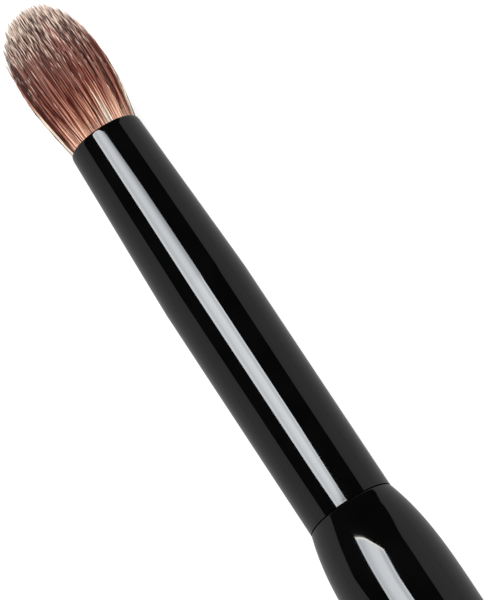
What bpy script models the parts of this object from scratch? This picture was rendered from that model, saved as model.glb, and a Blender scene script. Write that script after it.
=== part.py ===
"""A powder brush, modelled piece by piece as it would come apart on a bench.

Units are metres and +Z is up. The brush lies along X: the origin is the centre of
the small flat at the end of the handle, and +X runs to the tips of the bristles.
"""
import math

import bmesh
import bpy
from mathutils import Vector

# Fit between pieces that are seated in one another
CLEARANCE = 0.0003

# Handle: turned wood, from its end flat to the shoulder that meets the ferrule
HANDLE_LENGTH = 0.088
HANDLE_BELLY_RADIUS = 0.0097
HANDLE_BELLY_TO_SHOULDER = 0.0215
HANDLE_TAIL_RADIUS = 0.0055
HANDLE_TAIL_ROUNDING = 0.0038
HANDLE_END_FLAT_RADIUS = 0.0025
FRONT_CURVE_POWER = 3.1
TAIL_CURVE_POWER = 1.8

# Tenon: the thin front of the handle inside the ferrule, with two glue grooves
TENON_LENGTH = 0.025
TENON_CHAMFER = 0.0006
GLUE_GROOVE_WIDTH = 0.004
GLUE_GROOVE_DEPTH = 0.001
GLUE_GROOVE_SETBACK = 0.0045

# Ferrule: drawn tube, a cylinder behind a slow cone that ends at the mouth
FERRULE_LENGTH = 0.0744
FERRULE_RADIUS = 0.0075
FERRULE_MOUTH_RADIUS = 0.00627
FERRULE_CONE_LENGTH = 0.0326
FERRULE_WALL = 0.0005
FERRULE_LIP_ROUNDING = 0.0002

# Knot: the resin plug and the thread that hold the roots of the bristles
RESIN_LENGTH = 0.014
TIE_GROOVE_WIDTH = 0.0046
TIE_GROOVE_DEPTH = 0.0013
TIE_GROOVE_SETBACK = 0.005
TIE_THREAD_RADIUS = 0.0004

# Tuft: its outline above the mouth of the ferrule
TUFT_LENGTH = 0.0264
TUFT_BELLY_RADIUS = 0.0076
TUFT_BELLY_HEIGHT = 0.0118
TUFT_FLARE_POWER = 2.2
TUFT_GATHERING = 1.6

# Root slices: the thin bonded discs and rings that the strands stand on
SLICE_DEPTH = 0.0055
SLICE_THICKNESS = 0.002
OUTER_RING_WIDTH = 0.0012
MIDDLE_RING_WIDTH = 0.00155

# Strands, three-sided, with their spacing at the root
STRAND_PITCH = 0.000515
STRAND_RADIUS = 0.0002
STRAND_BELLY_RADIUS = 0.00027
STRAND_SLICE_MARGIN = 0.00005
STRAND_TIP_SCATTER = 0.0012
STRAND_LEVELS = (0.24, 0.62)

# Undyed locks in the outer ring: azimuth round X from +Z towards -Y, in degrees
UNDYED_LOCKS = {"left": -90.0, "front": 23.0, "right": 90.0}
UNDYED_LOCK_SWEEP = 16.0

# Facets round a turned piece, and round the root slices hidden in the ferrule
SEGMENTS = 48
SLICE_SEGMENTS = 24

# Steps along the curved stretches of the turned outlines
TAIL_ROUNDING_STEPS = 5
TAPER_STEPS = 7
FRONT_STEPS = 8
LIP_STEPS = 3

# Edges sharper than this, in degrees, stay crisp under smooth shading
CREASE_ANGLE = 35.0
HALVINGS = 40
GOLDEN_RATIO = (1 + math.sqrt(5)) / 2

# Sizes that follow from the ones above
FERRULE_BORE = FERRULE_RADIUS - FERRULE_WALL
MOUTH_BORE = FERRULE_MOUTH_RADIUS - FERRULE_WALL
TENON_RADIUS = FERRULE_BORE - CLEARANCE
FERRULE_REAR_X = HANDLE_LENGTH + CLEARANCE
MOUTH_X = FERRULE_REAR_X + FERRULE_LENGTH
SLICE_FRONT_X = MOUTH_X - SLICE_DEPTH
SLICE_BACK_X = SLICE_FRONT_X - SLICE_THICKNESS
RESIN_FRONT_X = SLICE_BACK_X - CLEARANCE


def bore_radius(x):
    """Radius of the ferrule's bore at a place along the brush."""
    along_cone = min(max((MOUTH_X - x) / FERRULE_CONE_LENGTH, 0.0), 1.0)
    return MOUTH_BORE + (FERRULE_BORE - MOUTH_BORE) * along_cone


SLICE_RADIUS = bore_radius(SLICE_FRONT_X) - CLEARANCE
TUFT_MOUTH_RADIUS = MOUTH_BORE - CLEARANCE
OUTERMOST_ROW = TUFT_MOUTH_RADIUS - STRAND_RADIUS


def clear_scene():
    for obj in list(bpy.data.objects):
        bpy.data.objects.remove(obj, do_unlink=True)


def make_material(name, colour, roughness, metallic=0.0):
    """A Principled material from a linear colour."""
    material = bpy.data.materials.new(name)
    material.use_nodes = True
    shader = material.node_tree.nodes["Principled BSDF"]
    shader.inputs["Base Color"].default_value = (*colour, 1.0)
    shader.inputs["Roughness"].default_value = roughness
    shader.inputs["Metallic"].default_value = metallic
    return material


def place(name, bm, material, parent, location=(0.0, 0.0, 0.0)):
    """Turn a bmesh into a named, smooth-shaded object under the brush's empty."""
    bmesh.ops.recalc_face_normals(bm, faces=bm.faces)
    mesh = bpy.data.meshes.new(name)
    bm.to_mesh(mesh)
    bm.free()
    mesh.shade_smooth()
    mesh.set_sharp_from_angle(angle=math.radians(CREASE_ANGLE))
    obj = bpy.data.objects.new(name, mesh)
    obj.data.materials.append(material)
    obj.parent = parent
    obj.location = location
    bpy.context.scene.collection.objects.link(obj)
    return obj


def turn(outline, closed, segments=SEGMENTS):
    """Spin an outline of (x, radius) points a full turn about X."""
    bm = bmesh.new()
    verts = [bm.verts.new((x, 0.0, radius)) for x, radius in outline]
    pairs = list(zip(verts, verts[1:]))
    if closed:
        pairs.append((verts[-1], verts[0]))
    edges = [bm.edges.new(pair) for pair in pairs]
    bmesh.ops.spin(
        bm,
        geom=verts + edges,
        cent=(0.0, 0.0, 0.0),
        axis=(1.0, 0.0, 0.0),
        angle=math.tau,
        steps=segments,
        use_merge=True,
    )
    bmesh.ops.remove_doubles(bm, verts=bm.verts, dist=1e-6)
    return bm


def quarter_arc(centre, radii, start, steps):
    """Points of a quarter ellipse about a centre, from a start angle in degrees."""
    points = []
    for step in range(steps + 1):
        angle = math.radians(start - 90.0 * step / steps)
        points.append((centre[0] + radii[0] * math.cos(angle), centre[1] + radii[1] * math.sin(angle)))
    return points


def handle_radius(x):
    """The handle's outline: a long taper up to the belly, then a quick fall to the shoulder."""
    belly_x = HANDLE_LENGTH - HANDLE_BELLY_TO_SHOULDER
    if x >= belly_x:
        fall = (x - belly_x) / HANDLE_BELLY_TO_SHOULDER
        return HANDLE_BELLY_RADIUS - (HANDLE_BELLY_RADIUS - FERRULE_RADIUS) * fall**FRONT_CURVE_POWER
    taper = (belly_x - x) / (belly_x - HANDLE_TAIL_ROUNDING)
    return HANDLE_BELLY_RADIUS - (HANDLE_BELLY_RADIUS - HANDLE_TAIL_RADIUS) * taper**TAIL_CURVE_POWER


def groove_starts():
    """Where each glue groove starts, measured along the brush."""
    rear = HANDLE_LENGTH + GLUE_GROOVE_SETBACK
    front = HANDLE_LENGTH + TENON_LENGTH - GLUE_GROOVE_SETBACK - GLUE_GROOVE_WIDTH
    return {"rear": rear, "front": front}


def make_handle(material, parent):
    """One turned piece: end flat, rounded tail, belly, shoulder and grooved tenon."""
    belly_x = HANDLE_LENGTH - HANDLE_BELLY_TO_SHOULDER
    outline = [(0.0, 0.0)]
    outline += quarter_arc(
        (HANDLE_TAIL_ROUNDING, HANDLE_END_FLAT_RADIUS),
        (HANDLE_TAIL_ROUNDING, HANDLE_TAIL_RADIUS - HANDLE_END_FLAT_RADIUS),
        180.0,
        TAIL_ROUNDING_STEPS,
    )
    for step in range(1, TAPER_STEPS + 1):
        x = HANDLE_TAIL_ROUNDING + (belly_x - HANDLE_TAIL_ROUNDING) * step / TAPER_STEPS
        outline.append((x, handle_radius(x)))
    for step in range(1, FRONT_STEPS + 1):
        x = belly_x + HANDLE_BELLY_TO_SHOULDER * math.sin(math.pi / 2 * step / FRONT_STEPS)
        outline.append((x, handle_radius(x)))
    outline.append((HANDLE_LENGTH, TENON_RADIUS))
    floor_radius = TENON_RADIUS - GLUE_GROOVE_DEPTH
    for start in sorted(groove_starts().values()):
        outline.append((start, TENON_RADIUS))
        outline.append((start, floor_radius))
        outline.append((start + GLUE_GROOVE_WIDTH, floor_radius))
        outline.append((start + GLUE_GROOVE_WIDTH, TENON_RADIUS))
    tenon_end = HANDLE_LENGTH + TENON_LENGTH
    outline.append((tenon_end - TENON_CHAMFER, TENON_RADIUS))
    outline.append((tenon_end, TENON_RADIUS - TENON_CHAMFER))
    outline.append((tenon_end, 0.0))
    return place("handle", turn(outline, closed=False), material, parent)


def make_ferrule(material, parent):
    """A tube of even wall, open at both ends, with its mouth edge rounded."""
    change_x = FERRULE_LENGTH - FERRULE_CONE_LENGTH
    outline = [(0.0, FERRULE_RADIUS), (change_x, FERRULE_RADIUS)]
    outline += quarter_arc(
        (FERRULE_LENGTH - FERRULE_LIP_ROUNDING, FERRULE_MOUTH_RADIUS - FERRULE_LIP_ROUNDING),
        (FERRULE_LIP_ROUNDING, FERRULE_LIP_ROUNDING),
        90.0,
        LIP_STEPS,
    )
    outline += [(FERRULE_LENGTH, MOUTH_BORE), (change_x, FERRULE_BORE), (0.0, FERRULE_BORE)]
    return place("ferrule", turn(outline, closed=True), material, parent, (FERRULE_REAR_X, 0.0, 0.0))


def make_tenon_adhesive(name, start, material, parent):
    """A ring of set adhesive between a glue groove and the ferrule's bore."""
    width = GLUE_GROOVE_WIDTH - 2 * CLEARANCE
    inner = TENON_RADIUS - GLUE_GROOVE_DEPTH + CLEARANCE
    outer = FERRULE_BORE - CLEARANCE
    outline = [(0.0, inner), (0.0, outer), (width, outer), (width, inner)]
    return place(name, turn(outline, closed=True), material, parent, (start + CLEARANCE, 0.0, 0.0))


def resin_radius(x):
    return bore_radius(x) - CLEARANCE


def tie_groove():
    """Front and back of the tie's groove in the resin, and its floor radius."""
    front = RESIN_FRONT_X - TIE_GROOVE_SETBACK
    back = front - TIE_GROOVE_WIDTH
    return back, front, resin_radius(front) - TIE_GROOVE_DEPTH


def make_root_resin(material, parent):
    """The cast plug, which follows the cone of the bore and is waisted for its tie."""
    end_x = RESIN_FRONT_X - RESIN_LENGTH
    back, front, floor_radius = tie_groove()
    outline = [
        (end_x, 0.0),
        (end_x, resin_radius(end_x)),
        (back, resin_radius(back)),
        (back, floor_radius),
        (front, floor_radius),
        (front, resin_radius(front)),
        (RESIN_FRONT_X, resin_radius(RESIN_FRONT_X)),
        (RESIN_FRONT_X, 0.0),
    ]
    return place("root_resin", turn(outline, closed=False), material, parent)


def make_root_tie(material, parent):
    """The wound thread as one ring, ridged where its turns lie side by side."""
    back, front, floor_radius = tie_groove()
    inner = floor_radius + CLEARANCE
    turns = int((front - back - 2 * CLEARANCE) / (2 * TIE_THREAD_RADIUS))
    start = (back + front) / 2 - turns * TIE_THREAD_RADIUS
    outline = [(start, inner)]
    for turn_number in range(turns):
        crest = start + (2 * turn_number + 1) * TIE_THREAD_RADIUS
        outline.append((crest - TIE_THREAD_RADIUS, inner + TIE_THREAD_RADIUS))
        outline.append((crest, inner + 2 * TIE_THREAD_RADIUS))
    outline.append((start + 2 * turns * TIE_THREAD_RADIUS, inner + TIE_THREAD_RADIUS))
    outline.append((start + 2 * turns * TIE_THREAD_RADIUS, inner))
    return place("root_tie_thread", turn(outline, closed=True), material, parent)


def tuft_radius(height):
    """Outline of the whole tuft: a flare from the mouth to the belly, then half an ellipse."""
    if height <= 0.0:
        return TUFT_MOUTH_RADIUS
    if height < TUFT_BELLY_HEIGHT:
        rise = 1 - (1 - height / TUFT_BELLY_HEIGHT) ** TUFT_FLARE_POWER
        return TUFT_MOUTH_RADIUS + (TUFT_BELLY_RADIUS - TUFT_MOUTH_RADIUS) * rise
    share = (height - TUFT_BELLY_HEIGHT) / (TUFT_LENGTH - TUFT_BELLY_HEIGHT)
    return TUFT_BELLY_RADIUS * math.sqrt(max(1 - share**2, 0.0))


def spread(height):
    """How far a strand has moved out from the axis, against its place at the root."""
    if height < TUFT_BELLY_HEIGHT:
        widest = tuft_radius(height) - strand_radius(height)
    else:
        share = (height - TUFT_BELLY_HEIGHT) / (TUFT_LENGTH - TUFT_BELLY_HEIGHT)
        gathered = math.sqrt(1 - (share / TUFT_GATHERING) ** 2)
        widest = (TUFT_BELLY_RADIUS - STRAND_BELLY_RADIUS) * gathered
    return widest / OUTERMOST_ROW


def strand_radius(height):
    """Strands thicken from the root to the belly of the tuft."""
    share = min(max(height / TUFT_BELLY_HEIGHT, 0.0), 1.0)
    return STRAND_RADIUS + (STRAND_BELLY_RADIUS - STRAND_RADIUS) * share


def tip_height(root_radius):
    """Height at which a strand from this root meets the tuft's outline."""
    low, high = TUFT_BELLY_HEIGHT, TUFT_LENGTH
    for _ in range(HALVINGS):
        middle = (low + high) / 2
        if root_radius * spread(middle) < tuft_radius(middle):
            low = middle
        else:
            high = middle
    return low


def rows_between(inner, outer):
    """Radii of the rows of strands from an inner to an outer one, about a pitch apart."""
    steps = int((outer - inner) / STRAND_PITCH)
    if steps < 1:
        return [(inner + outer) / 2]
    return [inner + (outer - inner) * step / steps for step in range(steps + 1)]


def roots_in(rows, start, sweep):
    """Radius and azimuth, in radians, of each strand root in an arc of rows."""
    roots = []
    for number, radius in enumerate(rows):
        count = max(1, round(radius * sweep / STRAND_PITCH))
        shift = number / GOLDEN_RATIO % 1 if sweep == math.tau else 0.5
        for place_in_row in range(count):
            roots.append((radius, start + sweep * (place_in_row + shift) / count))
    return roots


def strand_centre(root_radius, azimuth, height):
    """Centre of a strand at a height above the mouth."""
    reach = root_radius * spread(height)
    return Vector((height, -reach * math.sin(azimuth), reach * math.cos(azimuth)))


def move_cap(cap, root_radius, azimuth, old_height, new_height):
    """Carry a strand's front face along its path, swelling as the strand does."""
    old_centre = strand_centre(root_radius, azimuth, old_height)
    new_centre = strand_centre(root_radius, azimuth, new_height)
    swell = strand_radius(new_height) / strand_radius(old_height)
    for vert in cap.verts:
        vert.co = new_centre + (vert.co - old_centre) * swell


def add_strand(bm, root_radius, azimuth, scatter):
    """One strand: a prism up to the mouth, two bent lengths, and a point for its tip."""
    tip = tip_height(root_radius) - scatter
    foot = -SLICE_DEPTH - SLICE_THICKNESS / 2
    corners = []
    for corner in range(3):
        around = math.tau * corner / 3 + azimuth
        offset = Vector((0.0, -math.sin(around), math.cos(around))) * STRAND_RADIUS
        corners.append(bm.verts.new(strand_centre(root_radius, azimuth, foot) + offset))
    prism = bmesh.ops.extrude_face_region(bm, geom=[bm.faces.new(corners)])
    cap = next(item for item in prism["geom"] if isinstance(item, bmesh.types.BMFace))
    move_cap(cap, root_radius, azimuth, foot, 0.0)
    height = 0.0
    for share in STRAND_LEVELS:
        cap = bmesh.ops.extrude_discrete_faces(bm, faces=[cap])["faces"][0]
        move_cap(cap, root_radius, azimuth, height, tip * share)
        height = tip * share
    cap = bmesh.ops.extrude_discrete_faces(bm, faces=[cap])["faces"][0]
    bmesh.ops.pointmerge(bm, verts=cap.verts[:], merge_co=strand_centre(root_radius, azimuth, tip))


def make_slice(inner, outer, start, sweep):
    """A disc, a ring or an arc of a ring, behind the strands and seen from the mouth."""
    if sweep == math.tau:
        outline = [(-SLICE_THICKNESS, outer), (0.0, outer)]
        if inner > 0.0:
            ring = [(-SLICE_THICKNESS, inner), *outline, (0.0, inner)]
            return turn(ring, closed=True, segments=SLICE_SEGMENTS)
        disc = [(-SLICE_THICKNESS, 0.0), *outline, (0.0, 0.0)]
        return turn(disc, closed=False, segments=SLICE_SEGMENTS)
    bm = bmesh.new()
    corners = [(-SLICE_THICKNESS, inner), (-SLICE_THICKNESS, outer), (0.0, outer), (0.0, inner)]
    verts = [bm.verts.new((x, -math.sin(start) * radius, math.cos(start) * radius)) for x, radius in corners]
    bmesh.ops.spin(
        bm,
        geom=[bm.faces.new(verts)],
        cent=(0.0, 0.0, 0.0),
        axis=(1.0, 0.0, 0.0),
        angle=sweep,
        steps=max(2, round(SLICE_SEGMENTS * sweep / math.tau)),
    )
    return bm


def make_bristles(name, edges, rows, material, parent, start=0.0, sweep=math.tau):
    """Strands fused to their root slice by a union, as one closed body."""
    half_gap = 0.0 if sweep == math.tau else CLEARANCE / (edges[0] + edges[1])
    slice_mesh = make_slice(*edges, start + half_gap, sweep - 2 * half_gap)
    tuft = place(name, slice_mesh, material, parent, (SLICE_FRONT_X, 0.0, 0.0))
    strands = bmesh.new()
    for number, (radius, azimuth) in enumerate(roots_in(rows, start, sweep)):
        add_strand(strands, radius, azimuth, STRAND_TIP_SCATTER * (number * GOLDEN_RATIO % 1))
    guide = place(name + "_strands", strands, material, parent, (MOUTH_X, 0.0, 0.0))
    guide.hide_render = True
    guide.display_type = "WIRE"
    union = tuft.modifiers.new("fuse_strands", "BOOLEAN")
    union.operation = "UNION"
    union.solver = "EXACT"
    union.object = guide
    return tuft


def make_tuft(dyed, undyed, parent):
    """Core, middle ring and outer ring, the last one parted by its undyed locks."""
    outer_edge = SLICE_RADIUS - OUTER_RING_WIDTH
    middle_outer = outer_edge - CLEARANCE
    middle_inner = middle_outer - MIDDLE_RING_WIDTH
    core_edge = middle_inner - CLEARANCE
    inset = STRAND_RADIUS + STRAND_SLICE_MARGIN
    core_rows = [0.0, *rows_between(0.0, core_edge - inset)[1:]]
    middle_rows = rows_between(middle_inner + inset, middle_outer - inset)
    outer_rows = rows_between(outer_edge + inset, OUTERMOST_ROW)
    make_bristles("bristle_core", (0.0, core_edge), core_rows, dyed, parent)
    make_bristles("bristle_middle", (middle_inner, middle_outer), middle_rows, dyed, parent)
    half = UNDYED_LOCK_SWEEP / 2
    ring = (outer_edge, SLICE_RADIUS)
    azimuths = sorted(UNDYED_LOCKS.values())
    for side, azimuth in UNDYED_LOCKS.items():
        start = math.radians(azimuth - half)
        sweep = math.radians(UNDYED_LOCK_SWEEP)
        make_bristles("undyed_lock_" + side, ring, outer_rows, undyed, parent, start, sweep)
    for number, azimuth in enumerate(azimuths, start=1):
        following = azimuths[number] if number < len(azimuths) else azimuths[0] + 360.0
        start = math.radians(azimuth + half)
        sweep = math.radians(following - azimuth - UNDYED_LOCK_SWEEP)
        make_bristles(f"bristle_outer_{number}", ring, outer_rows, dyed, parent, start, sweep)


def main():
    clear_scene()
    lacquer = make_material("black_lacquered_wood", (0.006, 0.006, 0.006), 0.08)
    enamel = make_material("black_lacquered_brass", (0.006, 0.006, 0.006), 0.07)
    adhesive = make_material("set_adhesive", (0.45, 0.33, 0.16), 0.35)
    resin = make_material("cast_epoxy", (0.30, 0.20, 0.09), 0.3)
    thread = make_material("cotton_thread", (0.62, 0.56, 0.46), 0.9)
    dyed = make_material("dyed_fibre", (0.20, 0.075, 0.048), 0.55)
    undyed = make_material("undyed_fibre", (0.66, 0.52, 0.42), 0.55)
    brush = bpy.data.objects.new("powder_brush", None)
    bpy.context.scene.collection.objects.link(brush)
    make_handle(lacquer, brush)
    make_ferrule(enamel, brush)
    for side, start in groove_starts().items():
        make_tenon_adhesive("tenon_adhesive_" + side, start, adhesive, brush)
    make_root_resin(resin, brush)
    make_root_tie(thread, brush)
    make_tuft(dyed, undyed, brush)


main()
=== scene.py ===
"""The looks of a powder brush: gloss-black handle and ferrule, and a dome of three-tone fibres.

Units are metres, in the frame of the CAD solids. The brush lies along X with its bristles
towards +X, and the camera looks down on it, leaning a little to the end of the handle.
"""
import math
import random

import bmesh
import bpy
from mathutils import Matrix, Vector, kdtree


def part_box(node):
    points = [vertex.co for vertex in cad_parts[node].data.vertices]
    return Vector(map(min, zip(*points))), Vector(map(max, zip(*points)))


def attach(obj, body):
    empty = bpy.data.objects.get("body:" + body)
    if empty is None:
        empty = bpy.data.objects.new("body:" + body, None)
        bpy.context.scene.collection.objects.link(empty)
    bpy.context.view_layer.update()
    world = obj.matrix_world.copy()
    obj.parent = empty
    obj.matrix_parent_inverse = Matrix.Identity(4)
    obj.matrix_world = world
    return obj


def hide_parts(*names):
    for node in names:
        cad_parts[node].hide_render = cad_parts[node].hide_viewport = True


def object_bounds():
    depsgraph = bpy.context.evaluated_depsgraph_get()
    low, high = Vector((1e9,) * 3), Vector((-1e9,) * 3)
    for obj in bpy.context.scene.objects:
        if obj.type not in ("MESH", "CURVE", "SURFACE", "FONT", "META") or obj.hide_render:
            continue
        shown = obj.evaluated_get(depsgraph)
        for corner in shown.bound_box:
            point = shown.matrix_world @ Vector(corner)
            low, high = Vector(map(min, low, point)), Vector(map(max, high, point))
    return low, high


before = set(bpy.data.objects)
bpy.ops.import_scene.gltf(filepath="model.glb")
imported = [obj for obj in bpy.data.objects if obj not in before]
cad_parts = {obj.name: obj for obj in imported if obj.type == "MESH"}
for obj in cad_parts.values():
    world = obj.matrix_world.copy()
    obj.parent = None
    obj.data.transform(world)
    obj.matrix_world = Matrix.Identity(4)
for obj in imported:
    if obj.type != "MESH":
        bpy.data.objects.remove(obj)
cad_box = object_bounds()

MM = 0.001
BODY = "root"

# Places that the CAD solids give
FIT_GAP = 0.3 * MM
HANDLE_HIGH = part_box("handle")[1]
FERRULE_LOW, FERRULE_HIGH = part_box("ferrule")
SHOULDER_X = FERRULE_LOW.x - FIT_GAP
MOUTH_X = FERRULE_HIGH.x
TUFT_LENGTH = cad_box[1].x - MOUTH_X

# Handle: turned wood under lacquer. The powers say how full its two curves are.
BELLY_RADIUS = HANDLE_HIGH.z
BELLY_X = SHOULDER_X - 21.5 * MM
FRONT_CURVE_POWER = 3.1
TAIL_CURVE_POWER = 1.8
TAIL_RADIUS = 5.5 * MM
TAIL_ROUNDING = 3.8 * MM
END_FLAT_RADIUS = 2.5 * MM
SHOULDER_ROUNDING = 0.35 * MM
TENON_CHAMFER = 0.6 * MM
GLUE_GROOVE_WIDTH = 4.0 * MM
GLUE_GROOVE_DEPTH = 1.0 * MM
GLUE_GROOVE_SETBACK = 4.5 * MM

# Ferrule: drawn tube whose taper quickens towards the mouth, where its lip curls in
FERRULE_RADIUS = FERRULE_HIGH.z
MOUTH_RADIUS = 6.37 * MM
TAPER_LENGTH = 31.0 * MM
TAPER_X = MOUTH_X - TAPER_LENGTH
TAPER_POWER = 1.05
WALL = 0.5 * MM
LIP_WALL = 0.32 * MM
LIP_CURL_LENGTH = 0.95 * MM
LIP_CURL_DEPTH = 0.12 * MM
SEAM = 0.12 * MM
EDGE_ROUNDING = 0.08 * MM
REAR_EDGE_ROUNDING = 0.03 * MM
# Rings this close to the ends of its straight part keep the shading between them straight
REAR_RING_SETBACK = 0.15 * MM
TAPER_RING_SETBACK = 0.4 * MM

# Steps round the turned pieces, along their curves and over their rounded edges, and how near
# their points are when they are merged
ROUND_STEPS = 160
HANDLE_STEPS = 40
TAPER_STEPS = 36
STRAIGHT_STEPS = 6
TAIL_ARC_STEPS = 16
CURL_ARC_STEPS = 16
SHOULDER_ARC_STEPS = 8
EDGE_ARC_STEPS = 4
MERGE_DISTANCE = 1e-7

# Tuft outline above the mouth. The larger the gathering's value, the less its dome closes in.
HAIR_CLEARANCE = 0.03 * MM
HAIR_MOUTH_RADIUS = MOUTH_RADIUS - LIP_WALL - HAIR_CLEARANCE
TUFT_BELLY_RADIUS = 7.45 * MM
TUFT_BELLY_HEIGHT = 11.8 * MM
FLARE_POWER = 1.6
DOME_POWER = 2.55
DOME_HALVINGS = 20
GATHERING = 1.86
TUFT_SWAY = 0.05 * MM

# Locks, and the wisps that they are made of. Fibres move by the pull, a share of the way, to a
# bundle's centre.
LOCK_COUNT = 90
LOCK_JITTER = 0.2 * MM
LOCK_PULL = 0.04
LOCK_LEAN = 0.05 * MM
LOCK_TONE = 0.3
WISP_COUNT = 2400
WISP_JITTER = 0.05 * MM
WISP_PULL = 0.05
WISP_LEAN = 0.04 * MM
WISP_TONE = 0.3
WISP_TWIST = math.radians(1.0)
WISP_SCATTER = 4.0 * MM
WISP_SCATTER_POWER = 3
GATHER_HEIGHT = 4.0 * MM

# Fibres. The levels are shares of a fibre's height, and the taper is its thickness at each.
# Lean moves a tip sideways, twist round the tuft and splay outwards. Wander moves each level.
SEED = 5
FIBRE_COUNT = 7400
FIBRE_SIDES = 5
FIBRE_RADIUS = 0.069 * MM
THINNEST, THICKEST = 0.8, 1.15
FIBRE_FOOT = -2.6 * MM
FIBRE_LEVELS = (0.12, 0.3, 0.5, 0.7, 0.87, 0.955)
FIBRE_TAPER = (1.0, 1.0, 1.0, 1.0, 0.85, 0.5)
TIP_TAPER = 0.05
ROOT_JITTER = 0.06 * MM
FIBRE_LEAN = 0.14 * MM
STRAY_SHARE = 0.02
STRAY_LEAN = 0.3 * MM
LEAN_POWER = 1.5
FIBRE_TONE = 4.4
FIBRE_TWIST = math.radians(2.5)
FIBRE_SPLAY = 0.035
WIDEST_SPLAY = 0.01
FIBRE_WANDER = 0.045 * MM
TIP_SCATTER = 8.0 * MM
TIP_SCATTER_POWER = 2.6
# The turn, in radians, from one root to the next on a spiral that spreads them evenly
GOLDEN_ANGLE = math.pi * (3 - math.sqrt(5))
# The part of a turn from one fibre's corners to the next fibre's
CORNER_TURN = 0.37

# Light and dark fibres are mixed where they stand at this height, with those this near. The
# depth of a neighbour counts for less than its distance round the tuft.
MIX_HEIGHT = 15.0 * MM
MIX_REACH = 0.24 * MM
MIX_DEPTH = 0.5

# Columns of the fibres' colour map: one for each class of length and tone. A fibre's sides
# lie across its column, inside a margin.
LENGTH_CLASSES = 12
TONES = 10
SHORTEST_TIP = 6.0 * MM
MAP_REACH = TUFT_LENGTH + 4 * MM
COLUMN_MARGIN = 0.06

# The colours along a fibre move this share of the tuft's length up on the lightest fibres, and down
# on the darkest. Fibres above this tone are mixed towards pale cream, and the lightest by this share.
DYE_SHIFT = 0.07
LIGHTENED_TONE = 5.0
LIGHTENED_SHARE = 0.34

# How far down from its tip a fibre of the darkest and of the lightest tone is bleached, and how
# bright the darkest is there
SHORTEST_BLEACH = 0.4 * MM
LONGEST_BLEACH = 3.0 * MM
DARKEST_TIP = 0.06

# Fibres rooted within these shares of the mouth's radius are the core and the middle ring
CORE_SHARE = 0.54
MIDDLE_SHARE = 0.77
# The first and last azimuth of each pale lock, and the darkest tone that it takes in. The left and
# right locks stand at the tuft's two silhouettes: their cream is partly undyed fibre and partly
# painted rim light, which stands in for light shining through the fibres there.
PALE_LOCKS = {"left": (-106, -71, 1), "front": (17.5, 27.5, 0), "right": (76, 104, 0)}

# Camera: its lens in millimetres, its lean from the vertical towards the end of the handle,
# and the turn of the brush in the picture
LENS = 306
CLIP_START = 0.05
CLIP_END = 20.0
CAMERA_DISTANCE = 0.8202
CAMERA_LEAN = math.radians(16.1)
BRUSH_TURN = math.radians(33.52)
VIEW_CENTRE = Vector((0.1269, -0.0043, 0.0))

# Strip softboxes over the brush, and the cards above them. Lacquer gives back a 25th of their
# light, so at this power the colours of the softboxes are the colours that it shows.
STRIP_HEIGHT = 1.0
STRIP_POWER = 24.8
GAP_HEIGHT = STRIP_HEIGHT + 0.04
FLAG_HEIGHT = STRIP_HEIGHT + 0.05

# Key lamp: its power in watts, its place over the bristles, and its strength in their gloss
KEY_POWER = 20.0
KEY_SIZE = 0.4
KEY_DISTANCE = 1.6
KEY_TARGET = Vector((0.14, 0.0, 0.0))
KEY_DIRECTION = Vector((0.7, 0.05, 1.0))
HAIR_GLINT = 0.6

# Levels of the world in diffuse light and in gloss
FILL_LEVEL = 0.336
GLOSS_LEVEL = 0.512

# Floor: the glow that lifts it to white for the camera, and the glow that gloss shows
FLOOR_RADIUS = 6.0
FLOOR_SIDES = 64
FLOOR_DROP = 0.2 * MM
FLOOR_GLOW = 0.84
FLOOR_GLOSS = 0.02


def linear(colour):
    """Linear RGBA from an sRGB colour in hex."""
    parts = [int(colour[start : start + 2], 16) / 255 for start in (0, 2, 4)]
    return (*[p / 12.92 if p <= 0.04045 else ((p + 0.055) / 1.055) ** 2.4 for p in parts], 1.0)


def join(tree, node, inputs):
    """Give a node's inputs values or other nodes' sockets."""
    for key, value in inputs.items():
        if isinstance(value, bpy.types.NodeSocket):
            tree.links.new(value, node.inputs[key])
        else:
            node.inputs[key].default_value = value


def add(tree, kind, inputs=None, **settings):
    """Add a node with its settings, and with values or other nodes' sockets as its inputs."""
    node = tree.nodes.new(kind)
    for name, value in settings.items():
        setattr(node, name, value)
    join(tree, node, inputs or {})
    return node


def new_material(name):
    """A material, its node tree and its shader."""
    material = bpy.data.materials.new(name)
    material.use_nodes = True
    return material, material.node_tree, material.node_tree.nodes["Principled BSDF"]


def empty_tree(owner):
    """The node tree of a new material or world, with nothing in it."""
    owner.use_nodes = True
    owner.node_tree.nodes.clear()
    return owner.node_tree


def set_stops(node, stops):
    """Colour stops of a ramp: a place from 0 to 1, and an sRGB hex colour."""
    ramp = node.color_ramp
    for number, (place, colour) in enumerate(stops):
        stop = ramp.elements[number] if number < 2 else ramp.elements.new(place)
        stop.position = place
        stop.color = linear(colour)
    return node


# Black polyurethane lacquer, sprayed on sealed wood and polished: a deep mirror gloss whose
# only flaws are a slow orange peel and cloudy patches of slightly duller polish.
def make_handle_lacquer():
    material, tree, shader = new_material("black_polyurethane_lacquer_on_wood")
    place = add(tree, "ShaderNodeTexCoord").outputs["Object"]
    cloud = add(tree, "ShaderNodeTexNoise", {"Vector": place, "Scale": 1 / (9 * MM), "Detail": 3.0})
    colour = set_stops(add(tree, "ShaderNodeValToRGB", {"Fac": cloud.outputs["Fac"]}),
                       [(0.35, "080707"), (0.7, "0c0b0c")])
    polish = add(tree, "ShaderNodeMapRange", {
        "Value": cloud.outputs["Fac"], "From Min": 0.3, "From Max": 0.75, "To Min": 0.03,
        "To Max": 0.07,
    })
    peel = add(tree, "ShaderNodeTexNoise", {"Vector": place, "Scale": 1 / (3.5 * MM), "Detail": 1.0})
    bump = add(tree, "ShaderNodeBump", {
        "Height": peel.outputs["Fac"], "Strength": 0.5, "Distance": 0.004 * MM,
    })
    join(tree, shader, {"Base Color": colour.outputs["Color"], "Roughness": polish.outputs["Result"],
                        "Normal": bump.outputs["Normal"], "IOR": 1.5})
    return material


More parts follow.
